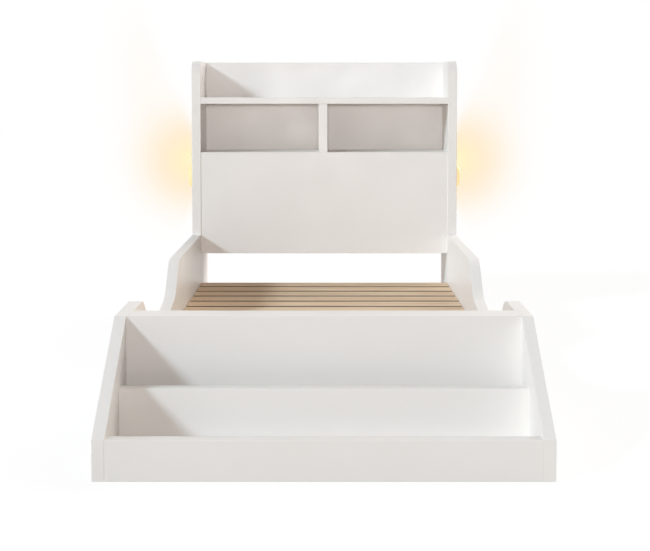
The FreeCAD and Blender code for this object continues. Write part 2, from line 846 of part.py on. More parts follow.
def lamp_screws():
    """Two pan-headed screws through the back shell into the headboard."""
    pieces = []
    for y, z in lamp_screw_places():
        head_low = (lamp_back_wall, y, z)
        head = rod(lamp_screw_head_diameter, lamp_screw_head_height, head_low, (1, 0, 0))
        half = screw_slot_length / 2
        high = lamp_back_wall + lamp_screw_head_height
        low = (high - screw_slot_depth, y - half, z - screw_slot_width / 2)
        slot = block(low, (high, y + half, z + screw_slot_width / 2))
        shank_length = lamp_screw_length
        shank_start = (lamp_back_wall - shank_length, y, z)
        shank = rod(lamp_screw_diameter, shank_length, shank_start, (1, 0, 0))
        pieces.append(head.cut(slot).fuse(shank).removeSplitter())
    return pieces


def lamps():
    """Both lamps, in their places on the headboard's outer faces."""
    place = Vector(headboard_outer_x, well_head_y + headboard_depth / 2, lamp_height)
    pieces = {
        "base": lamp_base(),
        "dome": lamp_dome(),
        "battery_cells": lamp_cells(),
        "led_board": lamp_board(),
        "switch_body": lamp_switch(),
        "switch_plunger": lamp_plunger(),
        "screws": lamp_screws(),
    }
    for name, solids in pieces.items():
        for solid in solids:
            solid.translate(place)
            add("lamp_right_" + name, [solid])
            add("lamp_left_" + name, [mirrored(solid)])
    depth = lamp_screw_length - lamp_back_wall + fitting_clearance
    wide = lamp_screw_diameter + 2 * fitting_clearance
    for y, z in lamp_screw_places():
        start = place + Vector(-depth, y, z)
        hole = rod(wide, depth, start, (1, 0, 0))
        drill("headboard_side_right", hole)
        drill("headboard_side_left", mirrored(hole))


def export(node, solids):
    """Drill a node's holes and write it as one file."""
    if node in holes:
        tool = Part.makeCompound(holes[node])
        solids = [solid.cut(tool) for solid in solids]
    solids = [piece for solid in solids for piece in solid.Solids]
    shape = solids[0] if len(solids) == 1 else Part.makeCompound(solids)
    shape.exportStep("parts/" + node + ".step")


headboard_sides()
headboard_boards()
headboard_fixings()
side_rails()
ledgers()
slats()
foot_sides()
foot_boards()
foot_fixings()
joining_plates()
corner_brackets()
lamps()

for node, solids in shapes.items():
    export(node, solids)
print(len(shapes), "nodes written")
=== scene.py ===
import json
import math

import bpy
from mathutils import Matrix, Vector


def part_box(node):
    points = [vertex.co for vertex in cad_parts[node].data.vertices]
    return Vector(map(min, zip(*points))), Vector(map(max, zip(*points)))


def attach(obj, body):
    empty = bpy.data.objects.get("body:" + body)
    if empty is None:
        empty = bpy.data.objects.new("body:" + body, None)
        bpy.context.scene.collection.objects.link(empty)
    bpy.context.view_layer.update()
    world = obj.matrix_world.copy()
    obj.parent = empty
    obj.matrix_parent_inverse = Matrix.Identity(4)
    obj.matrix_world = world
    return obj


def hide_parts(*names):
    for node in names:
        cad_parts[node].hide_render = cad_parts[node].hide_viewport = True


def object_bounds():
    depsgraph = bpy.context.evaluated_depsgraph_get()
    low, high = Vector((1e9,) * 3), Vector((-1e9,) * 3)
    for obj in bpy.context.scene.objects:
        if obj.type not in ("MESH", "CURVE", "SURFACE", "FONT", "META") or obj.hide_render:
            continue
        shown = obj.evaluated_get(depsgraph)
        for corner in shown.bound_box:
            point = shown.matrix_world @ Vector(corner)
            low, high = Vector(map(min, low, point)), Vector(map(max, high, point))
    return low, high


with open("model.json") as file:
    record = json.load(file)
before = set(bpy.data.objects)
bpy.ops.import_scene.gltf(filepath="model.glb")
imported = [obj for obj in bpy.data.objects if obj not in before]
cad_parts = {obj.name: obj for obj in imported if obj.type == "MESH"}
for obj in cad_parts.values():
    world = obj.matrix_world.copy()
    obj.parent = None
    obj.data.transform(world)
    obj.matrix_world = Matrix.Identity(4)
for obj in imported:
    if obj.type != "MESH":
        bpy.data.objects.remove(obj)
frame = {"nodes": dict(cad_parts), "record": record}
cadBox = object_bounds()
mm = 0.001
scene = bpy.context.scene


# small helpers shared by every material and tree

def linear(hexColour):
    # sRGB hex to the linear colour that the shaders work in
    digits = hexColour.lstrip("#")
    channels = []
    for start in (0, 2, 4):
        value = int(digits[start:start + 2], 16) / 255
        if value <= 0.04045:
            channels.append(value / 12.92)
        else:
            channels.append(((value + 0.055) / 1.055) ** 2.4)
    return (*channels, 1.0)


def feed(node, inputs):
    # an input takes a value, a hex colour, an output, a node's first output, or a list of nodes
    for socket, given in inputs.items():
        for value in given if isinstance(given, list) else [given]:
            if isinstance(value, bpy.types.Node):
                value = value.outputs[0]
            if isinstance(value, bpy.types.NodeSocket):
                node.id_data.links.new(value, node.inputs[socket])
            elif isinstance(value, str) and value.startswith("#"):
                node.inputs[socket].default_value = linear(value)
            else:
                node.inputs[socket].default_value = value


def addNode(tree, kind, inputs=None, **settings):
    # one node with its settings and what feeds its inputs
    node = tree.nodes.new(kind)
    for name, value in settings.items():
        setattr(node, name, value)
    feed(node, inputs or {})
    return node


def newMaterial(name, plainValues):
    # a Principled material; what is the same all over the surface sits on the shader itself
    material = bpy.data.materials.new(name)
    material.use_nodes = True
    tree = material.node_tree
    shader = tree.nodes["Principled BSDF"]
    feed(shader, plainValues)
    where = addNode(tree, "ShaderNodeTexCoord").outputs["Object"]
    return material, tree, shader, where


def emptyTree(owner):
    # the node tree of a material or world, with nothing in it
    owner.use_nodes = True
    owner.node_tree.nodes.clear()
    return owner.node_tree


def addObject(name, data):
    # an object at the origin, in the scene
    made = bpy.data.objects.new(name, data)
    scene.collection.objects.link(made)
    return made


# materials

lacquer = {
    "colour": "#F0EDE9",
    "drift": "#ECE8E3",
    "driftMm": 380,
    "driftDetail": 3,
    "ior": 1.5,
    "rubbedMm": 380 / 3,
    "rubbedDetail": 4,
    "rubbedFrom": 0.35,
    "rubbedTo": 0.65,
    "glossiest": 0.36,
    "dullest": 0.46,
    "waveMm": 60,
    "waveDepthMm": 0.05,
    "stippleMm": 1.6,
    "stippleDepthMm": 0.02,
}


def makeLacqueredBoard():
    # satin acrylic lacquer, rolled on board: warm white, a soft broad sheen, faint stipple
    material, tree, shader, where = newMaterial("satinLacquerOnBoard", {"IOR": lacquer["ior"]})
    drift = addNode(tree, "ShaderNodeTexNoise", {
        "Vector": where, "Scale": 1 / (lacquer["driftMm"] * mm),
        "Detail": lacquer["driftDetail"]})
    colour = addNode(tree, "ShaderNodeMix", {
        0: drift, 6: lacquer["colour"], 7: lacquer["drift"]}, data_type="RGBA")
    rubbed = addNode(tree, "ShaderNodeTexNoise", {
        "Vector": where, "Scale": 1 / (lacquer["rubbedMm"] * mm),
        "Detail": lacquer["rubbedDetail"]})
    sheen = addNode(tree, "ShaderNodeMapRange", {
        "Value": rubbed,
        "From Min": lacquer["rubbedFrom"], "From Max": lacquer["rubbedTo"],
        "To Min": lacquer["glossiest"], "To Max": lacquer["dullest"]})
    wave = addNode(tree, "ShaderNodeTexNoise", {
        "Vector": where, "Scale": 1 / (lacquer["waveMm"] * mm)})
    wavy = addNode(tree, "ShaderNodeBump", {
        "Height": wave, "Distance": lacquer["waveDepthMm"] * mm})
    stipple = addNode(tree, "ShaderNodeTexNoise", {
        "Vector": where, "Scale": 1 / (lacquer["stippleMm"] * mm)})
    stippled = addNode(tree, "ShaderNodeBump", {
        "Height": stipple, "Distance": lacquer["stippleDepthMm"] * mm, "Normal": wavy})
    feed(shader, {"Base Color": colour.outputs[2], "Roughness": sheen, "Normal": stippled})
    return material


pine = {
    "lateWood": ("#CDAA84", 0.30),
    "middleWood": ("#E8CBAC", 0.45),
    "earlyWood": ("#F4DCBF", 0.62),
    "roughness": 0.8,
    "ior": 1.45,
    "gloss": 0.2,
    "ringMm": 9,
    "ringLengthMm": 420,
    "ringDetail": 3,
    "ringRoughness": 0.55,
    "ringDistortion": 0.5,
    "fibreMm": 0.9,
    "fibreLengthMm": 45,
    "fibreDepthMm": 0.03,
    "fibreFrom": 0.3,
    "fibreTo": 0.7,
    "fibreDarkest": 0.94,
    "fibreLightest": 1.04,
    "darkestBoard": 0.9,
    # painted shade: how dark the long edges are drawn, standing in for the shade in the gaps
    # between boards
    "gapShade": 0.3,
    "edgeFrom": 0.5,
    "edgeTo": 0.9,
}


def makePine(name, alongAxis, boardPitch=None, firstBoardY=0.0):
    # sanded bare pine: pale straw with tan late-wood lines along the board, matt and faintly
    # fibrous, with fibres drawn about 1 mm wide because real ones are too fine to show
    material, tree, shader, where = newMaterial(name, {
        "Roughness": pine["roughness"], "IOR": pine["ior"], "Specular IOR Level": pine["gloss"]})
    boardSeed = 0.0
    boardTone = 1.0
    if boardPitch:
        # a number of its own for each board in the row
        axes = addNode(tree, "ShaderNodeSeparateXYZ", {0: where}).outputs
        fromFirst = addNode(tree, "ShaderNodeMath", {
            0: axes["Y"], 1: firstBoardY}, operation="SUBTRACT")
        steps = addNode(tree, "ShaderNodeMath", {0: fromFirst, 1: boardPitch}, operation="DIVIDE")
        boardNumber = addNode(tree, "ShaderNodeMath", {0: steps}, operation="FLOOR")
        boardSeed = addNode(tree, "ShaderNodeTexWhiteNoise", {
            "W": boardNumber}, noise_dimensions="1D").outputs["Value"]
        boardTone = addNode(tree, "ShaderNodeMapRange", {
            "Value": boardSeed, "To Min": pine["darkestBoard"]})
    offset = addNode(tree, "ShaderNodeCombineXYZ", {"X": boardSeed, "Z": boardSeed})
    moved = addNode(tree, "ShaderNodeVectorMath", {0: where, 1: offset}, operation="ADD")

    def stretched(acrossMm, lengthMm):
        # coordinates in which a pattern is long along the board
        sizes = [1 / (acrossMm * mm)] * 3
        sizes["XYZ".index(alongAxis)] = 1 / (lengthMm * mm)
        return addNode(tree, "ShaderNodeMapping", {"Vector": moved, "Scale": tuple(sizes)})

    rings = addNode(tree, "ShaderNodeTexNoise", {
        "Vector": stretched(pine["ringMm"], pine["ringLengthMm"]),
        "Scale": 1.0,
        "Detail": pine["ringDetail"],
        "Roughness": pine["ringRoughness"],
        "Distortion": pine["ringDistortion"],
    })
    ramp = addNode(tree, "ShaderNodeValToRGB", {"Fac": rings})
    stops = ramp.color_ramp.elements
    stops.new(0.5)
    for index, wood in enumerate(("lateWood", "middleWood", "earlyWood")):
        colour, position = pine[wood]
        stops[index].position = position
        stops[index].color = linear(colour)
    fibres = addNode(tree, "ShaderNodeTexNoise", {
        "Vector": stretched(pine["fibreMm"], pine["fibreLengthMm"]), "Scale": 1.0})
    fibreTone = addNode(tree, "ShaderNodeMapRange", {
        "Value": fibres,
        "From Min": pine["fibreFrom"], "From Max": pine["fibreTo"],
        "To Min": pine["fibreDarkest"], "To Max": pine["fibreLightest"]})
    # the long edges are drawn darker than the planed faces: painted shade in the gaps between the
    # boards
    facing = addNode(tree, "ShaderNodeTexCoord").outputs["Normal"]
    edgeAxis = "Y" if alongAxis == "X" else "X"
    sideways = addNode(tree, "ShaderNodeSeparateXYZ", {0: facing}).outputs[edgeAxis]
    upright = addNode(tree, "ShaderNodeMath", {0: sideways}, operation="ABSOLUTE")
    gapShadeTone = addNode(tree, "ShaderNodeMapRange", {
        "Value": upright,
        "From Min": pine["edgeFrom"], "From Max": pine["edgeTo"],
        "To Min": 1.0, "To Max": pine["gapShade"]})
    faceTone = addNode(tree, "ShaderNodeMath", {0: fibreTone, 1: boardTone}, operation="MULTIPLY")
    tone = addNode(tree, "ShaderNodeMath", {0: faceTone, 1: gapShadeTone}, operation="MULTIPLY")
    colour = addNode(tree, "ShaderNodeMix", {
        0: 1.0, 6: ramp, 7: tone}, data_type="RGBA", blend_type="MULTIPLY")
    grain = addNode(tree, "ShaderNodeBump", {
        "Height": fibres, "Distance": pine["fibreDepthMm"] * mm})
    feed(shader, {"Base Color": colour.outputs[2], "Normal": grain})
    return material


metals = {
    "zincPlatedSteel": {
        "bright": "#CFCFCB", "dull": "#B4B5B2", "shine": (0.24, 0.40),
        "grainMm": 0.5, "depthMm": 0.01},
    "galvanisedSheetSteel": {
        "bright": "#B9BBBC", "dull": "#9EA1A3", "shine": (0.34, 0.50),
        "grainMm": 6.0, "depthMm": 0.01},
    "dieCastZinc": {
        "bright": "#A9ABAE", "dull": "#8F9296", "shine": (0.38, 0.55),
        "grainMm": 0.8, "depthMm": 0.01},
}


def makeMetal(name):
    # plated or cast metal: grey reflections, mottled by its crystals. Only the galvanised
    # sheet's are as large as real ones, and the finer ones are drawn coarse enough to show
    values = metals[name]
    material, tree, shader, where = newMaterial(name, {"Metallic": 1.0})
    grainScale = 1 / (values["grainMm"] * mm)
    cells = addNode(tree, "ShaderNodeTexVoronoi", {"Vector": where, "Scale": grainScale})
    speckle = addNode(tree, "ShaderNodeSeparateColor", {0: cells.outputs["Color"]})
    colour = addNode(tree, "ShaderNodeMix", {
        0: speckle, 6: values["bright"], 7: values["dull"]}, data_type="RGBA")
    low, high = values["shine"]
    shine = addNode(tree, "ShaderNodeMapRange", {"Value": speckle, "To Min": low, "To Max": high})
    grain = addNode(tree, "ShaderNodeTexNoise", {"Vector": where, "Scale": grainScale})
    relief = addNode(tree, "ShaderNodeBump", {
        "Height": grain, "Distance": values["depthMm"] * mm})
    feed(shader, {"Base Color": colour.outputs[2], "Roughness": shine, "Normal": relief})
    return material


plastics = {
    "mouldedWhiteAbs": {
        "colour": "#EFECE6", "other": "#EAE6DF", "roughness": 0.42, "sparkMm": 0.5},
    "mouldedBlackAbs": {
        "colour": "#232426", "other": "#1D1E20", "roughness": 0.5, "sparkMm": 0.4},
    "pvcCellSleeve": {
        "colour": "#4A5058", "other": "#434951", "roughness": 0.28, "sparkMm": 1.2},
    "whiteSolderMask": {
        "colour": "#E4E7E2", "other": "#DADFD8", "roughness": 0.35, "sparkMm": 0.7},
}
moulding = {"ior": 1.53, "cloudMm": 25, "sparkDepthMm": 0.012}


def makePlastic(name):
    # moulded plastic: one colour with the even texture of its mould, coarse enough to show
    values = plastics[name]
    material, tree, shader, where = newMaterial(name, {
        "Roughness": values["roughness"], "IOR": moulding["ior"]})
    cloud = addNode(tree, "ShaderNodeTexNoise", {
        "Vector": where, "Scale": 1 / (moulding["cloudMm"] * mm)})
    colour = addNode(tree, "ShaderNodeMix", {
        0: cloud, 6: values["colour"], 7: values["other"]}, data_type="RGBA")
    sparks = addNode(tree, "ShaderNodeTexNoise", {
        "Vector": where, "Scale": 1 / (values["sparkMm"] * mm)})
    relief = addNode(tree, "ShaderNodeBump", {
        "Height": sparks, "Distance": moulding["sparkDepthMm"] * mm})
    feed(shader, {"Base Color": colour.outputs[2], "Normal": relief})
    return material


diffuser = {
    "plastic": "#9C8968",
    "roughness": 0.48,
    "ior": 1.49,
    "glowMiddle": "#FFF0BC",
    "glowRim": "#FFE3A8",
    "middleShare": 0.2,
    "strength": 0.74,
    "frostMm": 0.6,
    "frostDepthMm": 0.015,
}


def makeDiffuser():
    # frosted acrylic over warm light-emitting diodes: evenly lit, deeper amber towards the rim
    material, tree, shader, where = newMaterial("frostedAcrylicLit", {
        "Base Color": diffuser["plastic"],
        "Roughness": diffuser["roughness"],
        "IOR": diffuser["ior"],
        "Emission Strength": diffuser["strength"],
    })
    low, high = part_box("lamp_right_dome")
    centre = (low + high) / 2
    radius = high.z - centre.z
    # both covers share one pattern, because only the distance from the lamp's axis counts
    flat = addNode(tree, "ShaderNodeVectorMath", {
        0: where, 1: (0.0, 1.0, 1.0)}, operation="MULTIPLY")
    reach = addNode(tree, "ShaderNodeVectorMath", {
        0: flat, 1: (0.0, centre.y, centre.z)}, operation="DISTANCE").outputs["Value"]
    rim = addNode(tree, "ShaderNodeMapRange", {
        "Value": reach, "From Min": diffuser["middleShare"] * radius, "From Max": radius})
    glow = addNode(tree, "ShaderNodeMix", {
        0: rim, 6: diffuser["glowMiddle"], 7: diffuser["glowRim"]}, data_type="RGBA")
    frost = addNode(tree, "ShaderNodeTexNoise", {
        "Vector": where, "Scale": 1 / (diffuser["frostMm"] * mm)})
    relief = addNode(tree, "ShaderNodeBump", {
        "Height": frost, "Distance": diffuser["frostDepthMm"] * mm})
    feed(shader, {"Emission Color": glow.outputs[2], "Normal": relief})
    return material


# dress the CAD nodes

slatNames = sorted(
    name for name in frame["nodes"] if name.startswith("slat_") and name[5:].isdigit())
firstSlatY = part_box(slatNames[0])[0].y
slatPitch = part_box(slatNames[1])[0].y - firstSlatY

materialOf = {
    "painted_board": makeLacqueredBoard(),
    "bare_pine": makePine("sandedPineSlats", "X", slatPitch, firstSlatY),
    "beech": makePine("flutedBeech", "X"),
    "zinc_steel": makeMetal("zincPlatedSteel"),
    "plate_steel": makeMetal("galvanisedSheetSteel"),
    "cam_zinc": makeMetal("dieCastZinc"),
    "lamp_white_plastic": makePlastic("mouldedWhiteAbs"),
    "lamp_diffuser": makeDiffuser(),
    "cell_wrap": makePlastic("pvcCellSleeve"),
    "circuit_board": makePlastic("whiteSolderMask"),
    "switch_plastic": makePlastic("mouldedBlackAbs"),
}
ledgerPine = makePine("sandedPineLedger", "Y")

for row in frame["record"]["subparts"]:
    node = frame["nodes"][row["node"]]
    finish = materialOf[row["material_slot"]]
    if row["node"].startswith("slat_ledger"):
        finish = ledgerPine
    node.data.materials.clear()
    node.data.materials.append(finish)
    for face in node.data.polygons:
        face.material_index = 0
print("nodes dressed:", len(frame["nodes"]))


# countersunk cross-head wood screws, one mesh for each row of them

woodScrew = {
    "Head Diameter": 8.0 * mm,
    "Head Height": 2.6 * mm,
    "Shank Diameter": 4.2 * mm,
    "Tip Length": 5.0 * mm,
    "Thread Pitch": 1.9 * mm,
    "Thread Depth": 0.45 * mm,
    "Recess Length": 4.6 * mm,
    "Recess Width": 1.1 * mm,
    "Recess Depth": 1.5 * mm,
}
screwDetail = {
    "headSides": 24,
    "shankSides": 12,
    "pointRadius": 0.1 * mm,
    "threadSides": 3,
    "stepsPerTurn": 10,
    "twistSeed": 7,
}


def makeScrewTree():
    # one screw down -Z is built from its sizes, then put on every point along its "outward"
    tree = bpy.data.node_groups.new("woodScrewsOnPoints", "GeometryNodeTree")
    wanted = [("Points", "Geometry"), ("Length", "Float")]
    wanted += [(name, "Float") for name in woodScrew]
    wanted += [("Twist Seed", "Int"), ("Metal", "Material")]
    for name, kind in wanted:
        tree.interface.new_socket(name, in_out="INPUT", socket_type="NodeSocket" + kind)
    tree.interface.new_socket("Screws", in_out="OUTPUT", socket_type="NodeSocketGeometry")
    sizes = addNode(tree, "NodeGroupInput").outputs

    def lowered(mesh, depth):
        down = addNode(tree, "ShaderNodeMath", {0: depth, 1: -1.0}, operation="MULTIPLY")
        shift = addNode(tree, "ShaderNodeCombineXYZ", {"Z": down})
        return addNode(tree, "GeometryNodeTransform", {"Geometry": mesh, "Translation": shift})

    headRadius = addNode(tree, "ShaderNodeMath", {
        0: sizes["Head Diameter"], 1: 0.5}, operation="MULTIPLY")
    shankRadius = addNode(tree, "ShaderNodeMath", {
        0: sizes["Shank Diameter"], 1: 0.5}, operation="MULTIPLY")
    coreRadius = addNode(tree, "ShaderNodeMath", {
        0: shankRadius, 1: sizes["Thread Depth"]}, operation="SUBTRACT")
    overTip = addNode(tree, "ShaderNodeMath", {
        0: sizes["Length"], 1: sizes["Tip Length"]}, operation="SUBTRACT")
    shankLength = addNode(tree, "ShaderNodeMath", {
        0: overTip, 1: sizes["Head Height"]}, operation="SUBTRACT")

    # head with its cross recess, twice as high as it is deep because half stands over the head
    cone = addNode(tree, "GeometryNodeMeshCone", {
        "Vertices": screwDetail["headSides"], "Radius Top": headRadius,
        "Radius Bottom": coreRadius, "Depth": sizes["Head Height"]})
    slotHeight = addNode(tree, "ShaderNodeMath", {
        0: sizes["Recess Depth"], 1: 2.0}, operation="MULTIPLY")
    arms = []
    for across, along in (("Recess Length", "Recess Width"), ("Recess Width", "Recess Length")):
        size = addNode(tree, "ShaderNodeCombineXYZ", {
            "X": sizes[across], "Y": sizes[along], "Z": slotHeight})
        arms.append(addNode(tree, "GeometryNodeMeshCube", {"Size": size}))
    head = addNode(tree, "GeometryNodeMeshBoolean", {
        "Mesh 1": lowered(cone, sizes["Head Height"]), "Mesh 2": arms}, operation="DIFFERENCE")

    # shank and point
    barrel = addNode(tree, "GeometryNodeMeshCylinder", {
        "Vertices": screwDetail["shankSides"], "Radius": coreRadius, "Depth": shankLength})
    barrelMiddle = addNode(tree, "ShaderNodeMath", {
        0: shankLength, 1: 0.5, 2: sizes["Head Height"]}, operation="MULTIPLY_ADD")
    point = addNode(tree, "GeometryNodeMeshCone", {
        "Vertices": screwDetail["shankSides"], "Radius Top": coreRadius,
        "Radius Bottom": screwDetail["pointRadius"], "Depth": sizes["Tip Length"]})

    # thread, a thin ridge wound round the shank up to a head's height under the head
    threadLength = addNode(tree, "ShaderNodeMath", {
        0: shankLength, 1: sizes["Head Height"]}, operation="SUBTRACT")
    turns = addNode(tree, "ShaderNodeMath", {
        0: threadLength, 1: sizes["Thread Pitch"]}, operation="DIVIDE")
    spiral = addNode(tree, "GeometryNodeCurveSpiral", {
        "Resolution": screwDetail["stepsPerTurn"], "Rotations": turns,
        "Start Radius": coreRadius, "End Radius": coreRadius, "Height": threadLength})
    upright = addNode(tree, "GeometryNodeSetCurveNormal", {"Curve": spiral}, mode="Z_UP")
    ridge = addNode(tree, "GeometryNodeCurvePrimitiveCircle", {
        "Resolution": screwDetail["threadSides"], "Radius": sizes["Thread Depth"]})
    winding = addNode(tree, "GeometryNodeCurveToMesh", {
        "Curve": upright, "Profile Curve": ridge, "Fill Caps": True})

    screw = addNode(tree, "GeometryNodeJoinGeometry", {0: [
        head,
        lowered(barrel, barrelMiddle),
        lowered(point, sizes["Length"]),
        lowered(winding, overTip),
    ]})
    outward = addNode(tree, "GeometryNodeInputNamedAttribute", {
        "Name": "outward"}, data_type="FLOAT_VECTOR")
    turned = addNode(tree, "FunctionNodeAlignRotationToVector", {"Vector": outward}, axis="Z")
    placed = addNode(tree, "GeometryNodeInstanceOnPoints", {
        "Points": sizes["Points"], "Instance": screw, "Rotation": turned})
    # each screw stops at a turn of its own
    twist = addNode(tree, "FunctionNodeRandomValue", {
        3: math.tau, "Seed": sizes["Twist Seed"]}, data_type="FLOAT").outputs[1]
    spin = addNode(tree, "ShaderNodeCombineXYZ", {"Z": twist})
    driven = addNode(tree, "GeometryNodeRotateInstances", {
        "Instances": placed, "Rotation": spin, "Local Space": True})
    solid = addNode(tree, "GeometryNodeRealizeInstances", {"Geometry": driven})
    finished = addNode(tree, "GeometryNodeSetMaterial", {
        "Geometry": solid, "Material": sizes["Metal"]})
    addNode(tree, "NodeGroupOutput", {"Screws": finished})
    return tree


def driveScrews(tree, name, node, lengthMm, places):
    # places are head centres with the direction that the head faces
    points = bpy.data.meshes.new(name + "Points")
    points.from_pydata([place for place, outward in places], [], [])
    facing = points.attributes.new("outward", "FLOAT_VECTOR", "POINT")
    for index, (place, outward) in enumerate(places):
        facing.data[index].vector = outward
    maker = addObject(name + "Maker", points)
    modifier = maker.modifiers.new("screws", "NODES")
    modifier.node_group = tree
    chosen = dict(woodScrew)
    chosen["Length"] = lengthMm * mm
    chosen["Twist Seed"] = screwDetail["twistSeed"]
    chosen["Metal"] = materialOf["zinc_steel"]
    for item in tree.interface.items_tree:
        if item.item_type == "SOCKET" and item.in_out == "INPUT" and item.name in chosen:
            modifier[item.identifier] = chosen[item.name]
    evaluated = maker.evaluated_get(bpy.context.evaluated_depsgraph_get())
    mesh = bpy.data.meshes.new_from_object(evaluated)
    mesh.name = name
    bpy.data.objects.remove(maker)
    piece = addObject(name, mesh)
    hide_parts(node)
    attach(piece, "bed")


# places of the screws' heads, in millimetres
screwRows = {
    "slatInset": 482,
    "ledgerFace": 467,
    "ledgerFrom": -875.5,
    "ledgerStep": 318,
    "ledgerCount": 6,
    "ledgerHeight": 83,
    "backFace": 1318.5,
    "backAcross": (-372.75, -124.25, 124.25, 372.75),
    "backUp": (262.5, 646, 866),
    "plateFace": 494,
    "plateAlong": (981.5, 1015.5, 1051.5, 1085.5),
    "plateHeight": 40,
    "bracketRailAlong": -844.5,
    "bracketFootAcross": 465,
    "bracketFootFace": -873.5,
    "bracketHeights": (26, 54),
}
slatPlaces = []
ledgerPlaces = []
backPlaces = []
platePlaces = []
for side in (-1, 1):
    inward = (-side, 0, 0)
    for slat in slatNames:
        low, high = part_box(slat)
        place = (side * screwRows["slatInset"] * mm, (low.y + high.y) / 2, high.z)
        slatPlaces.append((place, (0, 0, 1)))
    for index in range(screwRows["ledgerCount"]):
        along = screwRows["ledgerFrom"] + (index + 0.5) * screwRows["ledgerStep"]
        place = Vector((side * screwRows["ledgerFace"], along, screwRows["ledgerHeight"])) * mm
        ledgerPlaces.append((place, inward))
    for along in screwRows["plateAlong"]:
        place = Vector((side * screwRows["plateFace"], along, screwRows["plateHeight"])) * mm
        platePlaces.append((place, inward))
    for height in screwRows["bracketHeights"]:
        onRail = (side * screwRows["plateFace"], screwRows["bracketRailAlong"], height)
        onFoot = (side * screwRows["bracketFootAcross"], screwRows["bracketFootFace"], height)
        platePlaces.append((Vector(onRail) * mm, inward))
        platePlaces.append((Vector(onFoot) * mm, (0, 1, 0)))
for across in screwRows["backAcross"]:
    for height in screwRows["backUp"]:
        backPlaces.append((Vector((across, screwRows["backFace"], height)) * mm, (0, 1, 0)))

screwTree = makeScrewTree()
screwsDriven = 0
for name, node, lengthMm, places in (
        ("slatScrewHeads", "slat_screws", 40, slatPlaces),
        ("ledgerScrewHeads", "ledger_screws", 50, ledgerPlaces),
        ("backPanelScrewHeads", "back_panel_screws", 45, backPlaces),
        ("plateScrewHeads", "plate_screws", 28, platePlaces)):
    driveScrews(screwTree, name, node, lengthMm, places)
    screwsDriven += len(places)
print("screws driven:", screwsDriven)


# camera at the photograph's viewing angle

photoCamera = {
    "place": (0.0029, -4.3334, 0.8817),
    "pitchDegrees": 3.205,
    "lensMm": 73.92,
    "sensorMm": 36,
    "shiftDown": 104 / 650,
}
cameraData = bpy.data.cameras.new("photoCamera")
cameraData.sensor_width = photoCamera["sensorMm"]
cameraData.lens = photoCamera["lensMm"]
cameraData.shift_y = -photoCamera["shiftDown"]
cameraObject = addObject("photoCamera", cameraData)
cameraObject.location = photoCamera["place"]
cameraObject.rotation_euler = (math.radians(90 - photoCamera["pitchDegrees"]), 0, 0)
scene.camera = cameraObject
print("camera set")


# light: a key from the left front, soft lamps from the left, above and behind, and the room

studioLamps = {
    "keyLamp": {
        "towards": (0.73, 0.489, -0.475),
        "angle": 9, "strength": 2.04, "colour": (0.725, 0.89, 1.0)},
    "leftLamp": {
        "towards": (0.95, 0.22, -0.20),
        "angle": 50, "strength": 0.62, "colour": (1.0, 0.74, 0.67)},
    "topLamp": {
        "towards": (0.0, 0.0, -1.0),
        "angle": 120, "strength": 0.12, "colour": (1.0, 0.90, 0.80)},
    "backLamp": {
        "towards": (-0.66, -0.60, -0.50),
        "angle": 60, "strength": 2.5, "colour": (1.0, 0.96, 0.92)},
}


def addLamp(name, kind, strength, colour, towards):
    # a lamp at the origin that shines in one direction
    data = bpy.data.lights.new(name, kind)
    data.energy = strength
    data.color = colour
    lamp = addObject(name, data)
    lamp.rotation_euler = Vector(towards).to_track_quat("-Z", "Y").to_euler()
    return lamp


for name, values in studioLamps.items():
    lamp = addLamp(name, "SUN", values["strength"], values["colour"], values["towards"])
    lamp.data.angle = math.radians(values["angle"])

# a soft round lamp in front, as strong on the headboard as on the foot unit. Its power is
# pi times its strength, so that the strength reads much as a sun lamp's
frontLamp = {
    "place": (0.0, -4.8, 1.10),
    "aim": (0.0, 0.0, 0.55),
    "width": 0.4,
    "strength": 0.74,
    "colour": (1.0, 0.955, 0.975),
}
lamp = addLamp(
    "frontLamp", "AREA", frontLamp["strength"] * math.pi, frontLamp["colour"],
    Vector(frontLamp["aim"]) - Vector(frontLamp["place"]))
lamp.location = frontLamp["place"]
lamp.visible_camera = False
lamp.data.shape = "DISK"
lamp.data.size = frontLamp["width"]
lamp.data.use_nodes = True
lampTree = lamp.data.node_tree
evenly = addNode(lampTree, "ShaderNodeLightFalloff", {"Strength": 1.0}).outputs["Constant"]
feed(lampTree.nodes["Emission"], {"Strength": evenly})


def directlySeen(tree):
    # 1 for what the camera sees, also in gloss and through glass
    path = addNode(tree, "ShaderNodeLightPath").outputs
    either = addNode(tree, "ShaderNodeMath", {
        0: path["Is Camera Ray"], 1: path["Is Glossy Ray"]}, operation="MAXIMUM")
    return addNode(tree, "ShaderNodeMath", {
        0: either, 1: path["Is Transmission Ray"]}, operation="MAXIMUM")


roomLight = {"colour": (1.0, 0.84, 0.72, 1.0), "strength": 0.12}
scene.world = bpy.data.worlds.new("paleStudio")
tree = emptyTree(scene.world)
room = addNode(tree, "ShaderNodeBackground", {
    "Color": roomLight["colour"], "Strength": roomLight["strength"]})
white = addNode(tree, "ShaderNodeBackground", {"Color": "#FFFFFF", "Strength": 1.0})
surroundings = addNode(tree, "ShaderNodeMixShader", {0: directlySeen(tree), 1: room, 2: white})
addNode(tree, "ShaderNodeOutputWorld", {"Surface": surroundings})


# white floor that keeps a light shadow of the bed

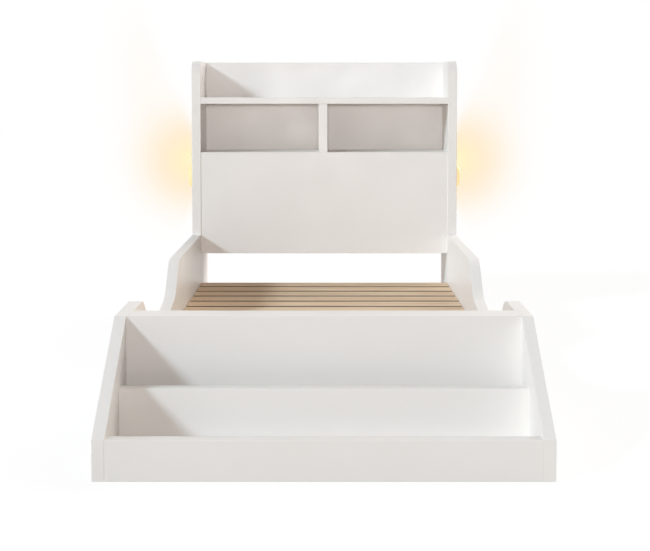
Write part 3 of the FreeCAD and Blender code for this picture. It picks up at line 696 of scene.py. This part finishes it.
floorFinish = {
    "size": 60.0,
    "bounce": "#DDD6CD",
    "seen": "#FFFFFF",
    "shadowShare": 0.12,
    "white": 1.03,
}
floorMaterial = bpy.data.materials.new("paleStudioFloor")
tree = emptyTree(floorMaterial)
bounce = addNode(tree, "ShaderNodeBsdfDiffuse", {"Color": floorFinish["bounce"]})
pale = addNode(tree, "ShaderNodeBsdfDiffuse", {"Color": floorFinish["seen"]})
glow = addNode(tree, "ShaderNodeEmission", {"Color": "#FFFFFF", "Strength": floorFinish["white"]})
shown = addNode(tree, "ShaderNodeMixShader", {0: floorFinish["shadowShare"], 1: glow, 2: pale})
surface = addNode(tree, "ShaderNodeMixShader", {0: directlySeen(tree), 1: bounce, 2: shown})
addNode(tree, "ShaderNodeOutputMaterial", {"Surface": surface})

floorMesh = bpy.data.meshes.new("studioFloor")
half = floorFinish["size"] / 2
corners = [(-half, -half, 0), (half, -half, 0), (half, half, 0), (-half, half, 0)]
floorMesh.from_pydata(corners, [], [(0, 1, 2, 3)])
floorMesh.materials.append(floorMaterial)
addObject("studioFloor", floorMesh)


# backdrop just behind the headboard that only shows the lamps' warm glow

lampGlow = {
    "behind": 50,
    "halfWidth": 1300,
    "height": 1700,
    "innerColour": "#FFF6CA",
    "outerColour": "#FFEAC8",
    "innerRadii": (120, 120),
    "centre": (570, 612),
    "radii": (214, 214),
    "falloff": 2.5,
    "plumeCentre": (770, 980),
    "plumeRadii": (110, 260),
    "plumeFalloff": 2.0,
    "plumeShare": 0.15,
    "edgeFrom": 530,
    "edgeTo": 620,
    "above": {"start": 790, "slope": 0.43},
    "below": {"start": 374, "slope": -0.5},
}


def makeGlow():
    # warm light on a white wall: a round pool beside each lamp with a faint plume above
    material = bpy.data.materials.new("warmGlowOnWhiteWall")
    tree = emptyTree(material)
    where = addNode(tree, "ShaderNodeTexCoord").outputs["Object"]
    # both sides share one pattern, because the card starts at the floor and only X changes sign
    mirrored = addNode(tree, "ShaderNodeVectorMath", {0: where}, operation="ABSOLUTE")
    axes = addNode(tree, "ShaderNodeSeparateXYZ", {0: mirrored}).outputs

    def reach(centre, radii):
        # distance from a centre, 1 at the radii
        middle = (centre[0] * mm, 0.0, centre[1] * mm)
        squeeze = (1 / (radii[0] * mm), 0.0, 1 / (radii[1] * mm))
        offset = addNode(tree, "ShaderNodeVectorMath", {
            0: mirrored, 1: middle}, operation="SUBTRACT")
        scaled = addNode(tree, "ShaderNodeVectorMath", {
            0: offset, 1: squeeze}, operation="MULTIPLY")
        return addNode(tree, "ShaderNodeVectorMath", {
            0: scaled}, operation="LENGTH").outputs["Value"]

    def pool(centre, radii, falloff):
        # 1 at the centre and nothing far out
        steep = addNode(tree, "ShaderNodeMath", {
            0: reach(centre, radii), 1: falloff}, operation="POWER")
        fading = addNode(tree, "ShaderNodeMath", {0: steep, 1: -1.0}, operation="MULTIPLY")
        return addNode(tree, "ShaderNodeMath", {0: fading}, operation="EXPONENT")

    def besideBoard(beam):
        # fades out beside the board, further out the more it is beyond the lamp's beam
        beyond = addNode(tree, "ShaderNodeMath", {
            0: axes["Z"], 1: beam["start"] * mm}, operation="SUBTRACT")
        lean = addNode(tree, "ShaderNodeMath", {
            0: beyond, 1: beam["slope"]}, operation="MULTIPLY")
        clear = addNode(tree, "ShaderNodeMath", {0: axes["X"], 1: lean}, operation="SUBTRACT")
        return addNode(tree, "ShaderNodeMapRange", {
            "Value": clear,
            "From Min": lampGlow["edgeFrom"] * mm, "From Max": lampGlow["edgeTo"] * mm,
        }, interpolation_type="SMOOTHSTEP")

    core = pool(lampGlow["centre"], lampGlow["radii"], lampGlow["falloff"])
    plume = pool(lampGlow["plumeCentre"], lampGlow["plumeRadii"], lampGlow["plumeFalloff"])
    light = addNode(tree, "ShaderNodeMath", {
        0: plume, 1: lampGlow["plumeShare"], 2: core}, operation="MULTIPLY_ADD")
    # nothing shows on the card's back
    back = addNode(tree, "ShaderNodeNewGeometry").outputs["Backfacing"]
    front = addNode(tree, "ShaderNodeMath", {0: 1.0, 1: back}, operation="SUBTRACT")
    for share in (besideBoard(lampGlow["above"]), besideBoard(lampGlow["below"]), front):
        light = addNode(tree, "ShaderNodeMath", {0: light, 1: share}, operation="MULTIPLY")
    outside = addNode(tree, "ShaderNodeMath", {
        0: reach(lampGlow["centre"], lampGlow["innerRadii"]), 1: 1.0}, operation="MINIMUM")
    colour = addNode(tree, "ShaderNodeMix", {
        0: outside, 6: lampGlow["innerColour"], 7: lampGlow["outerColour"]}, data_type="RGBA")
    warm = addNode(tree, "ShaderNodeEmission", {"Color": colour.outputs[2], "Strength": 1.0})
    clearAir = addNode(tree, "ShaderNodeBsdfTransparent")
    surface = addNode(tree, "ShaderNodeMixShader", {0: light, 1: clearAir, 2: warm})
    addNode(tree, "ShaderNodeOutputMaterial", {"Surface": surface})
    return material


wide = lampGlow["halfWidth"] * mm
tall = lampGlow["height"] * mm
depth = cadBox[1].y + lampGlow["behind"] * mm
corners = [(-wide, depth, 0), (wide, depth, 0), (wide, depth, tall), (-wide, depth, tall)]
glowMesh = bpy.data.meshes.new("lampGlowBackdrop")
glowMesh.from_pydata(corners, [], [(0, 1, 2, 3)])
glowMesh.materials.append(makeGlow())
glowObject = addObject("lampGlowBackdrop", glowMesh)
for ray in ("diffuse", "glossy", "transmission", "shadow"):
    setattr(glowObject, "visible_" + ray, False)

scene.view_settings.view_transform = "Standard"
print("studio set")
